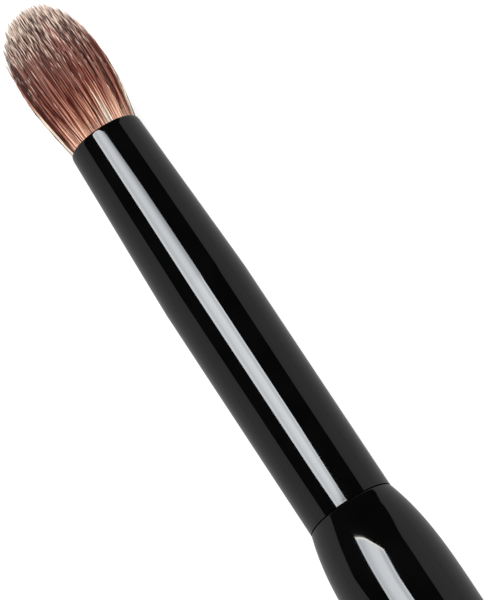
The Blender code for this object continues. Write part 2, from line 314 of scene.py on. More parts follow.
# Black stoving enamel on a drawn brass tube: as glossy as the handle, but the draw lines of
# the tube run lengthwise under the enamel and waver its highlights a little. They are 0.7 mm
# apart here, which is coarser than real ones, so that they show.
def make_ferrule_enamel():
    material, tree, shader = new_material("black_stoving_enamel_on_drawn_brass")
    place = add(tree, "ShaderNodeTexCoord").outputs["Object"]
    along = add(tree, "ShaderNodeMapping", {"Vector": place, "Scale": (0.03, 1.0, 1.0)})
    lines = add(tree, "ShaderNodeTexNoise", {
        "Vector": along.outputs["Vector"], "Scale": 1 / (0.7 * MM), "Detail": 2.0,
    })
    cloud = add(tree, "ShaderNodeTexNoise", {"Vector": place, "Scale": 1 / (6 * MM), "Detail": 3.0})
    colour = set_stops(add(tree, "ShaderNodeValToRGB", {"Fac": cloud.outputs["Fac"]}),
                       [(0.35, "070707"), (0.7, "0b0b0c")])
    polish = add(tree, "ShaderNodeMapRange", {
        "Value": lines.outputs["Fac"], "From Min": 0.3, "From Max": 0.75, "To Min": 0.025,
        "To Max": 0.06,
    })
    bump = add(tree, "ShaderNodeBump", {
        "Height": lines.outputs["Fac"], "Strength": 0.12, "Distance": 0.002 * MM,
    })
    join(tree, shader, {"Base Color": colour.outputs["Color"], "Roughness": polish.outputs["Result"],
                        "Normal": bump.outputs["Normal"], "IOR": 1.5})
    return material


# Two-part epoxy: amber, glossy and a little cloudy with trapped bubbles.
def make_epoxy(name, dark, light):
    material, tree, shader = new_material(name)
    place = add(tree, "ShaderNodeTexCoord").outputs["Object"]
    cloud = add(tree, "ShaderNodeTexNoise", {"Vector": place, "Scale": 1 / (1.5 * MM), "Detail": 4.0})
    colour = set_stops(add(tree, "ShaderNodeValToRGB", {"Fac": cloud.outputs["Fac"]}),
                       [(0.3, dark), (0.7, light)])
    bubbles = add(tree, "ShaderNodeTexVoronoi", {"Vector": place, "Scale": 1 / (0.8 * MM)})
    bump = add(tree, "ShaderNodeBump", {
        "Height": bubbles.outputs["Distance"], "Strength": 0.3, "Distance": 0.05 * MM,
    })
    join(tree, shader, {"Base Color": colour.outputs["Color"], "Normal": bump.outputs["Normal"],
                        "Roughness": 0.25, "IOR": 1.55})
    return material


# Waxed cotton thread, wound tight: matte, off-white, with slanting plies 0.35 mm apart. A wave
# texture has 20 radians to the unit.
def make_cotton_thread():
    material, tree, shader = new_material("waxed_cotton_thread")
    place = add(tree, "ShaderNodeTexCoord").outputs["Object"]
    turned = add(tree, "ShaderNodeMapping", {"Vector": place, "Rotation": (0.6, 0.0, 0.5)})
    ply = add(tree, "ShaderNodeTexWave", {
        "Vector": turned.outputs["Vector"], "Scale": math.tau / 20 / (0.35 * MM), "Distortion": 2.0,
    })
    colour = set_stops(add(tree, "ShaderNodeValToRGB", {"Fac": ply.outputs["Fac"]}),
                       [(0.2, "a89878"), (0.8, "d8ccb0")])
    bump = add(tree, "ShaderNodeBump", {
        "Height": ply.outputs["Fac"], "Strength": 0.6, "Distance": 0.06 * MM,
    })
    join(tree, shader, {"Base Color": colour.outputs["Color"], "Normal": bump.outputs["Normal"],
                        "Roughness": 0.85})
    return material


def read_colour_map(tree):
    """A fibre's class of length, its tone and a number by chance, and where the point is on it.

    The map's u picks the column of a class of length and a tone. Its v is the distance down
    from the tip. That distance and the height are shares of the tuft's length.
    """
    place = add(tree, "ShaderNodeUVMap", uv_map="OFBake").outputs["UV"]
    axes = add(tree, "ShaderNodeSeparateXYZ", {"Vector": place})
    scaled = add(tree, "ShaderNodeMath", {0: axes.outputs["X"], 1: LENGTH_CLASSES * TONES},
                 operation="MULTIPLY")
    column = add(tree, "ShaderNodeMath", {0: scaled.outputs[0]}, operation="FLOOR").outputs[0]
    chance = add(tree, "ShaderNodeTexWhiteNoise", {"W": column}, noise_dimensions="1D")
    tone = add(tree, "ShaderNodeMath", {0: column, 1: TONES}, operation="MODULO")
    shared = add(tree, "ShaderNodeMath", {0: column, 1: TONES}, operation="DIVIDE")
    length_class = add(tree, "ShaderNodeMath", {0: shared.outputs[0]}, operation="FLOOR").outputs[0]
    tip = add(tree, "ShaderNodeMapRange", {
        "Value": length_class, "From Min": -0.5, "From Max": LENGTH_CLASSES - 0.5,
        "To Min": SHORTEST_TIP / TUFT_LENGTH, "To Max": 1.0,
    })
    below = add(tree, "ShaderNodeMath", {0: axes.outputs["Y"], 1: MAP_REACH / TUFT_LENGTH},
                operation="MULTIPLY").outputs[0]
    height = add(tree, "ShaderNodeMath", {0: tip.outputs["Result"], 1: below}, operation="SUBTRACT")
    return length_class, tone.outputs[0], chance.outputs["Value"], below, height.outputs[0]


def colour_body(tree, tone, height, stops, darkest, lightest):
    """A fibre's colour below its tip. Light ones keep the pale colours of the foot further up."""
    shift = add(tree, "ShaderNodeMapRange", {
        "Value": tone, "From Max": TONES - 1, "To Min": DYE_SHIFT, "To Max": -DYE_SHIFT,
    })
    dyed_from = add(tree, "ShaderNodeMath", {0: height, 1: shift.outputs["Result"]})
    dye = set_stops(add(tree, "ShaderNodeValToRGB", {"Fac": dyed_from.outputs[0]}), stops)
    brightness = add(tree, "ShaderNodeMapRange", {
        "Value": tone, "From Max": TONES - 1, "To Min": darkest, "To Max": lightest,
    })
    toned = add(tree, "ShaderNodeHueSaturation", {
        "Color": dye.outputs["Color"], "Value": brightness.outputs["Result"],
    })
    # Light fibres are mixed towards pale cream, most of all in the first quarter above the mouth
    lightened_by_tone = add(tree, "ShaderNodeMapRange", {
        "Value": tone, "From Min": LIGHTENED_TONE, "From Max": TONES - 1, "To Max": LIGHTENED_SHARE,
    }, interpolation_type="SMOOTHSTEP")
    lightened_by_height = add(tree, "ShaderNodeMapRange", {
        "Value": height, "From Min": 0.08, "From Max": 0.26, "To Min": 1.0, "To Max": 0.5,
    })
    lightened = add(tree, "ShaderNodeMath", {
        0: lightened_by_tone.outputs["Result"], 1: lightened_by_height.outputs["Result"],
    }, operation="MULTIPLY")
    return add(tree, "ShaderNodeMix", {
        "Factor": lightened.outputs[0], "A": toned.outputs["Color"], "B": linear("f8d6c0"),
    }, data_type="RGBA").outputs["Result"]


def bleach_tip(tree, length_class, tone, chance, below):
    """How bleached a fibre is, from 0 to 1. Light, long ones are bleached furthest down."""
    by_length = add(tree, "ShaderNodeMapRange", {
        "Value": length_class, "From Min": 2.0, "From Max": LENGTH_CLASSES - 1, "To Min": 0.4,
        "To Max": 1.2,
    }).outputs["Result"]
    by_tone = add(tree, "ShaderNodeMapRange", {
        "Value": tone, "From Max": TONES - 1, "To Min": SHORTEST_BLEACH / TUFT_LENGTH,
        "To Max": LONGEST_BLEACH / TUFT_LENGTH,
    })
    by_chance = add(tree, "ShaderNodeMapRange", {"Value": chance, "To Min": 0.6, "To Max": 1.4})
    usual_reach = add(tree, "ShaderNodeMath", {0: by_tone.outputs["Result"], 1: by_length},
                      operation="MULTIPLY")
    reach = add(tree, "ShaderNodeMath", {0: usual_reach.outputs[0], 1: by_chance.outputs["Result"]},
                operation="MULTIPLY")
    share = add(tree, "ShaderNodeMath", {0: below, 1: reach.outputs[0]}, operation="DIVIDE")
    faded = add(tree, "ShaderNodeMapRange", {
        "Value": share.outputs[0], "From Min": 0.5, "From Max": 1.0, "To Min": 1.0, "To Max": 0.0,
    }, interpolation_type="SMOOTHSTEP")
    strength = add(tree, "ShaderNodeMapRange", {
        "Value": by_length, "From Min": 0.4, "From Max": 0.8, "To Min": 0.75, "To Max": 1.0,
    })
    return add(tree, "ShaderNodeMath", {
        0: faded.outputs["Result"], 1: strength.outputs["Result"],
    }, operation="MULTIPLY").outputs[0]


# Drawn PBT filaments with a satin surface, each coloured along its own length: copper or natural
# cream at the mouth, brown above, and a bleached tip whose lower edge is feathered. On the locks at
# the tuft's two silhouettes the cream is partly painted rim light.
def make_fibre(name, stops, darkest, lightest):
    material, tree, shader = new_material(name)
    length_class, tone, chance, below, height = read_colour_map(tree)
    brightness = add(tree, "ShaderNodeMapRange", {
        "Value": tone, "From Max": TONES - 2, "To Min": DARKEST_TIP, "To Max": 1.0,
    })
    tip = add(tree, "ShaderNodeHueSaturation", {
        "Color": linear("fce2d0"), "Value": brightness.outputs["Result"],
    })
    colour = add(tree, "ShaderNodeMix", {
        "Factor": bleach_tip(tree, length_class, tone, chance, below),
        "A": colour_body(tree, tone, height, stops, darkest, lightest),
        "B": tip.outputs["Color"],
    }, data_type="RGBA")
    join(tree, shader, {"Base Color": colour.outputs["Result"], "Roughness": 0.32,
                        "Specular IOR Level": 0.25})
    return material


def new_object(name, bm, material):
    """An object in the scene, from a finished bmesh and its material."""
    mesh = bpy.data.meshes.new(name)
    bm.to_mesh(mesh)
    bm.free()
    mesh.materials.append(material)
    obj = bpy.data.objects.new(name, mesh)
    bpy.context.scene.collection.objects.link(obj)
    return obj


def piece(name, bm, material, replaced):
    """A finished, smooth-shaded piece of the brush, which stands for one CAD node."""
    obj = new_object(name, bm, material)
    obj.data.shade_smooth()
    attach(obj, BODY)
    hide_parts(replaced)
    return obj


def turn(outline, closed):
    """Spin an outline of (x, radius) points a full turn about X."""
    bm = bmesh.new()
    verts = [bm.verts.new((x, 0.0, radius)) for x, radius in outline]
    pairs = list(zip(verts, verts[1:]))
    if closed:
        pairs.append((verts[-1], verts[0]))
    edges = [bm.edges.new(pair) for pair in pairs]
    bmesh.ops.spin(
        bm, geom=verts + edges, cent=(0.0, 0.0, 0.0), axis=(1.0, 0.0, 0.0),
        angle=math.tau, steps=ROUND_STEPS, use_merge=True,
    )
    bmesh.ops.remove_doubles(bm, verts=bm.verts, dist=MERGE_DISTANCE)
    bmesh.ops.recalc_face_normals(bm, faces=bm.faces)
    return bm


def even_steps(first, last, count):
    """This many even steps that end at last. The first point itself is left out."""
    return [first + (last - first) * step / count for step in range(1, count + 1)]


def arc(centre, radii, first, last, count):
    """Points on an ellipse in the (x, radius) plane. The angles are degrees from +x."""
    points = []
    for degrees in (first, *even_steps(first, last, count)):
        angle = math.radians(degrees)
        points.append((centre[0] + radii[0] * math.cos(angle), centre[1] + radii[1] * math.sin(angle)))
    return points


def handle_radius(x):
    """A long taper up to the belly, then a quick fall to the shoulder."""
    if x >= BELLY_X:
        fall = (x - BELLY_X) / (SHOULDER_X - BELLY_X)
        return BELLY_RADIUS - (BELLY_RADIUS - FERRULE_RADIUS) * fall**FRONT_CURVE_POWER
    taper = (BELLY_X - x) / (BELLY_X - TAIL_ROUNDING)
    return BELLY_RADIUS - (BELLY_RADIUS - TAIL_RADIUS) * taper**TAIL_CURVE_POWER


def tenon_outline():
    """The hidden front of the handle, with its two glue grooves."""
    radius = FERRULE_RADIUS - WALL - FIT_GAP
    floor_radius = radius - GLUE_GROOVE_DEPTH
    end = HANDLE_HIGH.x
    outline = [(SHOULDER_X, radius)]
    rear = SHOULDER_X + GLUE_GROOVE_SETBACK
    front = end - GLUE_GROOVE_SETBACK - GLUE_GROOVE_WIDTH
    for start in (rear, front):
        stop = start + GLUE_GROOVE_WIDTH
        outline += [(start, radius), (start, floor_radius), (stop, floor_radius), (stop, radius)]
    return outline + [(end - TENON_CHAMFER, radius), (end, radius - TENON_CHAMFER), (end, 0.0)]


def make_handle(lacquer):
    """End flat, rounded tail, belly, shoulder with a softly rounded edge, and tenon."""
    outline = [(0.0, 0.0), (0.0, END_FLAT_RADIUS / 2)]
    tail_centre = (TAIL_ROUNDING, END_FLAT_RADIUS)
    tail_radii = (TAIL_ROUNDING, TAIL_RADIUS - END_FLAT_RADIUS)
    outline += arc(tail_centre, tail_radii, 180, 90, TAIL_ARC_STEPS)
    outline += [(x, handle_radius(x)) for x in even_steps(TAIL_ROUNDING, BELLY_X, HANDLE_STEPS)]
    slope = (BELLY_RADIUS - FERRULE_RADIUS) * FRONT_CURVE_POWER / (SHOULDER_X - BELLY_X)
    lean = math.atan(slope)
    edge_x = SHOULDER_X - SHOULDER_ROUNDING * (1 - math.sin(lean))
    for share in even_steps(0.0, 1.0, HANDLE_STEPS):
        x = BELLY_X + (edge_x - BELLY_X) * math.sin(math.pi / 2 * share)
        outline.append((x, handle_radius(x)))
    edge_drop = SHOULDER_ROUNDING * math.cos(lean)
    edge_centre = (SHOULDER_X - SHOULDER_ROUNDING, handle_radius(edge_x) - edge_drop)
    edge_radii = (SHOULDER_ROUNDING, SHOULDER_ROUNDING)
    outline += arc(edge_centre, edge_radii, 90 - math.degrees(lean), 0, SHOULDER_ARC_STEPS)[1:]
    outline += tenon_outline()
    bm = turn(outline, closed=False)
    return piece("lacquered_handle", bm, lacquer, "handle")


def ferrule_radius(x):
    """Radius of the ferrule outside, without the curl of its lip."""
    along = min(max((x - TAPER_X) / TAPER_LENGTH, 0.0), 1.0)
    return FERRULE_RADIUS - (FERRULE_RADIUS - MOUTH_RADIUS) * along**TAPER_POWER


def make_ferrule(enamel):
    """The tapered tube, its mouth curled inwards and its edges broken."""
    rear = SHOULDER_X + SEAM
    rear_centre = (rear + REAR_EDGE_ROUNDING, FERRULE_RADIUS - REAR_EDGE_ROUNDING)
    outline = arc(rear_centre, (REAR_EDGE_ROUNDING, REAR_EDGE_ROUNDING), 180, 90, EDGE_ARC_STEPS)
    straight = [rear + REAR_RING_SETBACK]
    straight += even_steps(rear, TAPER_X - TAPER_RING_SETBACK, STRAIGHT_STEPS)
    outline += [(x, FERRULE_RADIUS) for x in (*straight, TAPER_X)]
    curl_x = MOUTH_X - LIP_CURL_LENGTH
    outline += [(x, ferrule_radius(x)) for x in even_steps(TAPER_X, curl_x, TAPER_STEPS)]
    for along, drop in arc((0.0, 0.0), (1.0, 1.0), 90, 0, CURL_ARC_STEPS)[1:]:
        x = curl_x + LIP_CURL_LENGTH * along
        outline.append((x, ferrule_radius(x) - LIP_CURL_DEPTH * (1 - drop)))
    lip_centre = (MOUTH_X - EDGE_ROUNDING, MOUTH_RADIUS - LIP_WALL + EDGE_ROUNDING)
    outline += arc(lip_centre, (EDGE_ROUNDING, EDGE_ROUNDING), 0, -90, EDGE_ARC_STEPS)
    for share in (*reversed(even_steps(0.0, 1.0, TAPER_STEPS)), 0.0):
        x = TAPER_X + (curl_x - TAPER_X) * share
        outline.append((x, ferrule_radius(x) - WALL - (LIP_WALL - WALL) * share))
    outline += [(x, FERRULE_RADIUS - WALL) for x in (*reversed(straight), rear)]
    bm = turn(outline, closed=True)
    return piece("enamelled_ferrule", bm, enamel, "ferrule")


def tuft_radius(height):
    """Radius of the tuft's outermost fibres, from the mouth to its belly."""
    rise = 1 - (1 - min(max(height, 0.0) / TUFT_BELLY_HEIGHT, 1.0)) ** FLARE_POWER
    return HAIR_MOUTH_RADIUS + (TUFT_BELLY_RADIUS - HAIR_MOUTH_RADIUS) * rise


def spread(height):
    """How far a fibre has moved out from the axis, against its place at the mouth."""
    above = max(height - TUFT_BELLY_HEIGHT, 0.0) / (TUFT_LENGTH - TUFT_BELLY_HEIGHT)
    return tuft_radius(height) * math.sqrt(1 - (above / GATHERING) ** 2) / HAIR_MOUTH_RADIUS


def dome_height(root_share):
    """Height at which a fibre rooted at this share of the mouth's radius meets the dome."""
    low, high = 0.0, 1.0
    for _ in range(DOME_HALVINGS):
        above = (low + high) / 2
        inside = root_share * math.sqrt(1 - (above / GATHERING) ** 2)
        if inside < (1 - above**DOME_POWER) ** (1 / DOME_POWER):
            low = above
        else:
            high = above
    return TUFT_BELLY_HEIGHT + (TUFT_LENGTH - TUFT_BELLY_HEIGHT) * low


def smooth(share):
    """A smooth rise from 0 to 1."""
    share = min(max(share, 0.0), 1.0)
    return share * share * (3 - 2 * share)


def stray(chance, size):
    """A move by chance, in the plane across the brush."""
    return Vector((chance.gauss(0, size), chance.gauss(0, size)))


def sunflower(number, count, chance, radius, jitter):
    """A place on an even spiral over a disc, moved a little by chance."""
    reach = radius * math.sqrt((number + 0.5) / count)
    angle = number * GOLDEN_ANGLE
    return Vector((reach * math.cos(angle), reach * math.sin(angle))) + stray(chance, jitter)


def nearest(bundles):
    """A function that finds the bundle whose centre is nearest to a place."""
    tree = kdtree.KDTree(len(bundles))
    for number, bundle in enumerate(bundles):
        tree.insert((*bundle.centre, 0.0), number)
    tree.balance()
    return lambda place: bundles[tree.find((*place, 0.0))[1]]


class Lock:
    """A loose bundle of wisps that lean and are toned alike."""

    def __init__(self, number, chance):
        self.centre = sunflower(number, LOCK_COUNT, chance, HAIR_MOUTH_RADIUS, LOCK_JITTER)
        self.lean = stray(chance, LOCK_LEAN)
        self.tone = chance.gauss(0, LOCK_TONE)


class Wisp:
    """A few neighbouring fibres that cling together from a little above the mouth."""

    def __init__(self, number, chance, lock_near):
        self.centre = sunflower(number, WISP_COUNT, chance, HAIR_MOUTH_RADIUS, WISP_JITTER)
        self.lock = lock_near(self.centre)
        self.lean = self.lock.lean + stray(chance, WISP_LEAN)
        self.shortfall = WISP_SCATTER * chance.random() ** WISP_SCATTER_POWER
        self.tone = self.lock.tone + chance.gauss(0, WISP_TONE)
        self.twist = chance.gauss(0, WISP_TWIST)


class Fibre:
    """One fibre: where it is rooted, the wisp it belongs to, its tip and its tone."""

    def __init__(self, root, wisp, chance):
        self.root = root
        self.wisp = wisp
        self.share = min(root.length / HAIR_MOUTH_RADIUS, 1.0)
        lean = STRAY_LEAN if chance.random() < STRAY_SHARE else FIBRE_LEAN
        self.lean = wisp.lean + stray(chance, lean)
        shortfall = wisp.shortfall + TIP_SCATTER * chance.random() ** TIP_SCATTER_POWER
        self.tip = max(dome_height(self.share) - shortfall, SHORTEST_TIP)
        self.splay = min(chance.gauss(0, FIBRE_SPLAY), WIDEST_SPLAY + (1 - self.share) / 2)
        self.twist = wisp.twist + chance.gauss(0, FIBRE_TWIST)
        self.tone_offset = abs(chance.gauss(0, FIBRE_TONE))
        self.radius = FIBRE_RADIUS * chance.uniform(THINNEST, THICKEST)
        self.wander = [Vector((0.0, *stray(chance, FIBRE_WANDER))) for _ in FIBRE_LEVELS]

    def set_tone(self, sign):
        """Take a tone on the light or the dark side of the wisp's."""
        tone = (TONES - 1) / 2 + self.wisp.tone + sign * self.tone_offset
        self.tone = int(min(max(round(tone), 0), TONES - 1))

    def azimuth(self):
        """Degrees round X from +Z towards -Y."""
        return math.degrees(math.atan2(-self.root.x, self.root.y))

    def centre(self, height):
        """Where the fibre is at a height above the mouth."""
        share = max(height / self.tip, 0.0)
        gathered = 1 - math.exp(-max(height, 0.0) / GATHER_HEIGHT)
        place = self.root.lerp(self.wisp.centre, WISP_PULL * gathered)
        place = place.lerp(self.wisp.lock.centre, LOCK_PULL * smooth(share)) * spread(height)
        place = Matrix.Rotation(self.twist * share, 2) @ place
        place = place * (1 + self.splay * gathered) + self.lean * share**LEAN_POWER
        place.x -= TUFT_SWAY * math.sin(math.tau * max(height, 0.0) / TUFT_LENGTH)
        return Vector((MOUTH_X + height, place.x, place.y))

    def rings(self):
        """Centres of the fibre's rings, from its foot in the resin to its tip."""
        centres = [self.centre(FIBRE_FOOT), self.centre(0.0)]
        for share, wander in zip(FIBRE_LEVELS, self.wander):
            height = share * self.tip
            centres.append(self.centre(height) + wander * smooth(height / GATHER_HEIGHT))
        return centres + [self.centre(self.tip)]

    def column(self):
        """Number of the fibre's column in the colour map."""
        step = (TUFT_LENGTH - SHORTEST_TIP) / LENGTH_CLASSES
        length_class = int((self.tip - SHORTEST_TIP) / step)
        return min(max(length_class, 0), LENGTH_CLASSES - 1) * TONES + self.tone


def mix_tones(fibres):
    """Alternate light and dark round the tuft, because neighbours in a mixed bunch differ."""
    tree = kdtree.KDTree(len(fibres))
    places = []
    for number, fibre in enumerate(fibres):
        place = fibre.centre(MIX_HEIGHT)
        around = math.atan2(-place.y, place.z) * TUFT_BELLY_RADIUS
        depth = math.hypot(place.y, place.z) * MIX_DEPTH
        places.append(Vector((around, depth, 0.0)))
        tree.insert(places[-1], number)
    tree.balance()
    signs = {}
    for number in sorted(range(len(fibres)), key=lambda number: places[number].x):
        balance = 0.0
        for _, other, distance in tree.find_range(places[number], MIX_REACH):
            balance += signs.get(other, 0) * (MIX_REACH - distance)
        signs[number] = -1 if balance > 0 else 1
        fibres[number].set_tone(signs[number])


def plant_fibres():
    """Root every fibre on a sunflower spiral and give it to the nearest wisp."""
    chance = random.Random(SEED)
    lock_near = nearest([Lock(number, chance) for number in range(LOCK_COUNT)])
    wisp_near = nearest([Wisp(number, chance, lock_near) for number in range(WISP_COUNT)])
    fibres = []
    for number in range(FIBRE_COUNT):
        reach = HAIR_MOUTH_RADIUS - FIBRE_RADIUS
        root = sunflower(number, FIBRE_COUNT, chance, reach, ROOT_JITTER)
        fibres.append(Fibre(root, wisp_near(root), chance))
    mix_tones(fibres)
    return fibres


def move_ring(cap, old, new, scale):
    """Carry a fibre's front face from one centre to the next, with its thickness scaled."""
    for vert in cap.verts:
        vert.co = new + (vert.co - old) * scale


def paint_columns(bm, fibres, mark, corner):
    """Lay every face in its fibre's column of the colour map, by distance from the tip."""
    layer = bm.loops.layers.uv.new("OFBake")
    columns = LENGTH_CLASSES * TONES
    width = 1 - 2 * COLUMN_MARGIN
    for face in bm.faces:
        fibre = fibres[face[mark]]
        low = min(loop.vert[corner] for loop in face.loops)
        high = max(loop.vert[corner] for loop in face.loops)
        for loop in face.loops:
            place = loop.vert[corner]
            # The last side ends at the first corner
            if low == 0 and high == FIBRE_SIDES - 1 and place == 0:
                place = FIBRE_SIDES
            below = fibre.tip - (loop.vert.co.x - MOUTH_X)
            across = (fibre.column() + COLUMN_MARGIN + width * place / FIBRE_SIDES) / columns
            loop[layer].uv = (across, below / MAP_REACH)


def plant_feet(bm, fibres, rings, mark, corner):
    """A small face at the foot of each fibre, marked with the fibre's number."""
    for number, fibre in enumerate(fibres):
        verts = []
        for place in range(FIBRE_SIDES):
            around = math.tau * (place / FIBRE_SIDES + number * CORNER_TURN)
            offset = Vector((0.0, math.cos(around), math.sin(around))) * fibre.radius
            verts.append(bm.verts.new(rings[number][0] + offset))
            verts[-1][corner] = place
        bm.faces.new(verts)[mark] = number


def grow(name, fibres, material, replaced):
    """One piece of hair: a small face at each foot, drawn up level by level for all at once."""
    bm = bmesh.new()
    mark = bm.faces.layers.int.new("fibre")
    corner = bm.verts.layers.int.new("corner")
    rings = [fibre.rings() for fibre in fibres]
    plant_feet(bm, fibres, rings, mark, corner)
    # This keeps the faces at the feet, which close the fibres below
    drawn = bmesh.ops.extrude_face_region(bm, geom=bm.faces[:])["geom"]
    caps = [item for item in drawn if isinstance(item, bmesh.types.BMFace)]
    thickness = (1.0, 1.0, *FIBRE_TAPER, TIP_TAPER)
    for level in range(1, len(thickness)):
        if level > 1:
            caps = bmesh.ops.extrude_discrete_faces(bm, faces=caps)["faces"]
        for cap in caps:
            old, new = rings[cap[mark]][level - 1 : level + 1]
            move_ring(cap, old, new, thickness[level] / thickness[level - 1])
    tip_edges = [edge for cap in caps for edge in cap.edges]
    bmesh.ops.collapse(bm, edges=tip_edges, uvs=False)
    bmesh.ops.recalc_face_normals(bm, faces=bm.faces)
    paint_columns(bm, fibres, mark, corner)
    return piece(name, bm, material, replaced)


def pale_lock_side(fibre):
    """The pale lock that an outer fibre belongs to, or None. The left one leaves dark ones out."""
    for side, (first, last, darkest) in PALE_LOCKS.items():
        if first < fibre.azimuth() < last and fibre.tone >= darkest:
            return side
    return None


def sort_fibres(fibres):
    """The fibres of each piece: core, middle, the outer arcs and the pale locks."""
    groups = {}
    first_azimuths = [first for first, last, darkest in PALE_LOCKS.values()]
    arcs = len(first_azimuths)
    for fibre in fibres:
        if fibre.share < CORE_SHARE:
            key = "core"
        elif fibre.share < MIDDLE_SHARE:
            key = "middle"
        elif pale_lock_side(fibre):
            key = pale_lock_side(fibre)
        else:
            # Each outer arc has the number of the lock that it follows round the tuft
            passed = sum(fibre.azimuth() > azimuth for azimuth in first_azimuths)
            key = f"outer_{(passed - 1) % arcs + 1}"
        groups.setdefault(key, []).append(fibre)
    return groups


def make_tuft():
    """The pieces of hair. The pale locks are cream at their foot alone, and brown above it. On the left
    and right locks, at the tuft's two silhouettes, that cream is partly painted rim light.
    """
    dyed = make_fibre(
        "dyed_pbt_filament",
        [(0.0, "f6bca0"), (0.1, "c87a60"), (0.2, "8e4030"), (0.4, "7e3a30"), (0.8, "663630")],
        0.12, 0.88,
    )
    half_dyed = make_fibre(
        "half_dyed_pbt_filament",
        [(0.0, "fff0e0"), (0.1, "f6dcc6"), (0.19, "c48c70"), (0.27, "964636"), (0.4, "884036")],
        0.2, 1.0,
    )
    # Cream of the left and right locks: partly undyed fibre, and partly painted rim light for light
    # shining through the fibres at the silhouettes
    undyed = make_fibre(
        "undyed_pbt_filament_with_painted_rim_light",
        [(0.0, "fff0de"), (0.22, "f6e0ca"), (0.33, "c89880"), (0.46, "965246"), (0.8, "703c36")],
        0.6, 1.05,
    )
    groups = sort_fibres(plant_fibres())
    pieces = []
    for part in ("core", "middle", "outer_1", "outer_2", "outer_3"):
        pieces.append(grow(f"{part}_hair", groups[part], dyed, f"bristle_{part}"))
    for side, material in (("left", undyed), ("front", half_dyed), ("right", undyed)):
        name = f"undyed_{side}_hair"
        pieces.append(grow(name, groups[side], material, f"undyed_lock_{side}"))
    return pieces


def light_only(light, receivers):
    """Let a lamp or a glowing card reach only these pieces."""
    lit = bpy.data.collections.new(f"{light.name}_receivers")
    for receiver in receivers:
        lit.objects.link(receiver)
    light.light_linking.receiver_collection = lit


def show_in_gloss_only(name, bm, make_shader, receiver=None):
    """A studio light or flag that only one piece's gloss, or all gloss, shows."""
    material = bpy.data.materials.new(name)
    tree = empty_tree(material)
    add(tree, "ShaderNodeOutputMaterial", {"Surface": make_shader(tree)})
    card = new_object(name, bm, material)
    card.visible_camera = False
    card.visible_diffuse = False
    card.visible_shadow = False
    card.visible_transmission = False
    if receiver:
        light_only(card, [receiver])


def strip_glow(tree, stops, end_stops, fade):
    """The glow of a strip softbox, which lets what is behind it through as well."""
    place = add(tree, "ShaderNodeUVMap", uv_map="Softbox").outputs["UV"]
    axes = add(tree, "ShaderNodeSeparateXYZ", {"Vector": place})
    body = set_stops(add(tree, "ShaderNodeValToRGB", {"Fac": axes.outputs["X"]}), stops)
    end = set_stops(add(tree, "ShaderNodeValToRGB", {"Fac": axes.outputs["X"]}), end_stops)
    share = add(tree, "ShaderNodeMapRange", {
        "Value": axes.outputs["Y"], "From Min": fade[0], "From Max": fade[1],
    })
    colour = add(tree, "ShaderNodeMix", {
        "Factor": share.outputs["Result"], "A": end.outputs["Color"], "B": body.outputs["Color"],
    }, data_type="RGBA")
    light = add(tree, "ShaderNodeEmission", {
        "Color": colour.outputs["Result"], "Strength": STRIP_POWER,
    })
    clear = add(tree, "ShaderNodeBsdfTransparent")
    return add(tree, "ShaderNodeAddShader", {0: light.outputs[0], 1: clear.outputs[0]}).outputs[0]


def make_strip(name, height, rows, stops, end_stops, fade, receiver):
    """A strip softbox over the brush: rows of points from its front end to its rear.

    The stops are its brightness from its left edge to its right, and the end stops are that
    at its front end. One fades into the other between the two shares of its length.
    """
    bm = bmesh.new()
    across = len(rows[0]) - 1
    along = len(rows) - 1
    bmesh.ops.create_grid(bm, x_segments=across, y_segments=along, size=0.5, calc_uvs=False)
    layer = bm.loops.layers.uv.new("Softbox")
    for vert in bm.verts:
        column = round((vert.co.x + 0.5) * across)
        row = round((vert.co.y + 0.5) * along)
        for loop in vert.link_loops:
            loop[layer].uv = (column / across, row / along)
        vert.co = Vector((*rows[row][column], height))
    show_in_gloss_only(name, bm, lambda tree: strip_glow(tree, stops, end_stops, fade), receiver)


